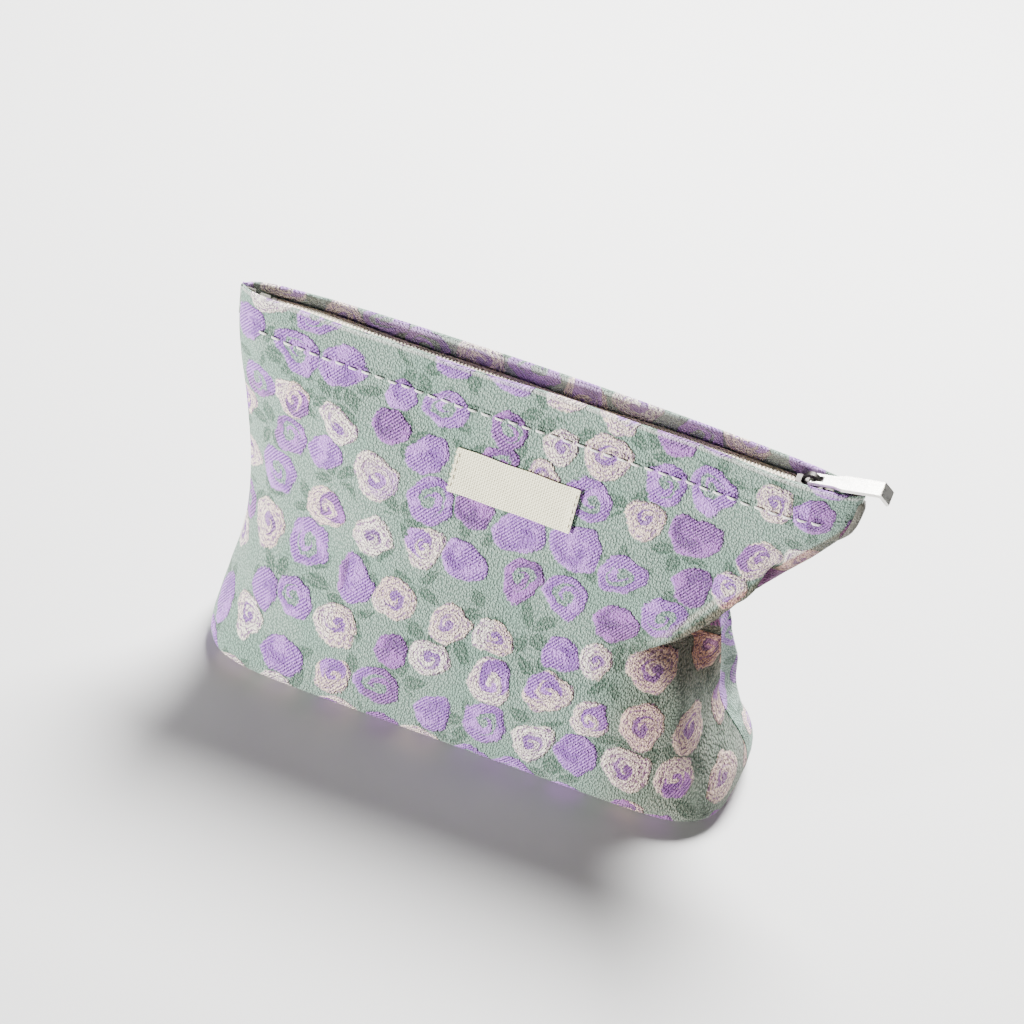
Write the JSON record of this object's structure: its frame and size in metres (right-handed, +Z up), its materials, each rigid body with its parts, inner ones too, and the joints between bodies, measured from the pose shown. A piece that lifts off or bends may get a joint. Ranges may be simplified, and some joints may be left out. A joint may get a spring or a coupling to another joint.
{
  "type": "makeup bag",
  "caption": "Soft zip-top makeup bag: flat closed mouth, drawn-in waist and boxed base, with a lined pocket, a recessed zip with a metal pull, and a sewn-on canvas label.",
  "frame": {"origin": "middle of the base, on the surface that the bag stands on", "axes": "+Z up, +X along the zip towards its closed end, -Y out of the front panel, which has the label"},
  "size_m": [0.2489, 0.082, 0.1554],
  "materials": {
    "jacquard": "woven jacquard with slightly raised figures",
    "interlining": "felted",
    "lining": "plain weave",
    "facing": "woven jacquard, turned hem",
    "zip_tape": "herringbone tape",
    "zip_teeth": "nylon",
    "stop_metal": "satin",
    "thread": "twisted thread",
    "label_canvas": "plain canvas",
    "slider_metal": "satin",
    "pull_metal": "polished"
  },
  "bodies": {
    "bag": {"base_panel": "jacquard", "outer_front": "jacquard", "outer_back": "jacquard", "padding_front": "interlining", "padding_back": "interlining", "lining_front": "lining", "lining_back": "lining", "side_seam_left": "jacquard", "side_seam_right": "jacquard", "facing_front_ends": "facing", "facing_back_ends": "facing", "zip_tape_ends": "zip_tape", "zip_teeth_ends": "zip_teeth", "zip_top_stops": "stop_metal", "zip_bottom_stop": "stop_metal", "zip_end_tab_left": "facing", "zip_end_tab_right": "facing", "topstitch_ends": "thread"},
    "front_lip": {"outer_front_lip": "jacquard", "padding_front_lip": "interlining", "lining_front_lip": "lining", "facing_front": "facing", "zip_tape_front": "zip_tape", "zip_teeth_front": "zip_teeth", "topstitch_front": "thread", "label": "label_canvas", "label_stitches": "thread"},
    "back_lip": {"outer_back_lip": "jacquard", "padding_back_lip": "interlining", "lining_back_lip": "lining", "facing_back": "facing", "zip_tape_back": "zip_tape", "zip_teeth_back": "zip_teeth", "topstitch_back": "thread"},
    "slider": {"slider_body": "slider_metal", "slider_bridge": "slider_metal"},
    "pull": {"pull_tab": "pull_metal"}
  },
  "joints": [
    {"name": "zip_slide", "type": "slide", "parent": "bag", "child": "slider", "axis": [-1, 0, 0], "range_m": [0, 0.2]},
    {"name": "front_lip_fold", "type": "hinge", "parent": "bag", "child": "front_lip", "pos_m": [0, -0.0335, 0.058], "axis": [1, 0, 0], "range_deg": [0, 22]},
    {"name": "back_lip_fold", "type": "hinge", "parent": "bag", "child": "back_lip", "pos_m": [0, 0.0335, 0.058], "axis": [-1, 0, 0], "range_deg": [0, 22]},
    {"name": "pull_swivel", "type": "hinge", "parent": "slider", "child": "pull", "pos_m": [0.1, 0, 0.1494], "axis": [0, -1, 0], "range_deg": [0, 150]}
  ],
  "couplings": [
    {"joint": "front_lip_fold", "follows": "zip_slide", "rad_per_m": 1.9198},
    {"joint": "back_lip_fold", "follows": "zip_slide", "rad_per_m": 1.9198}
  ]
}
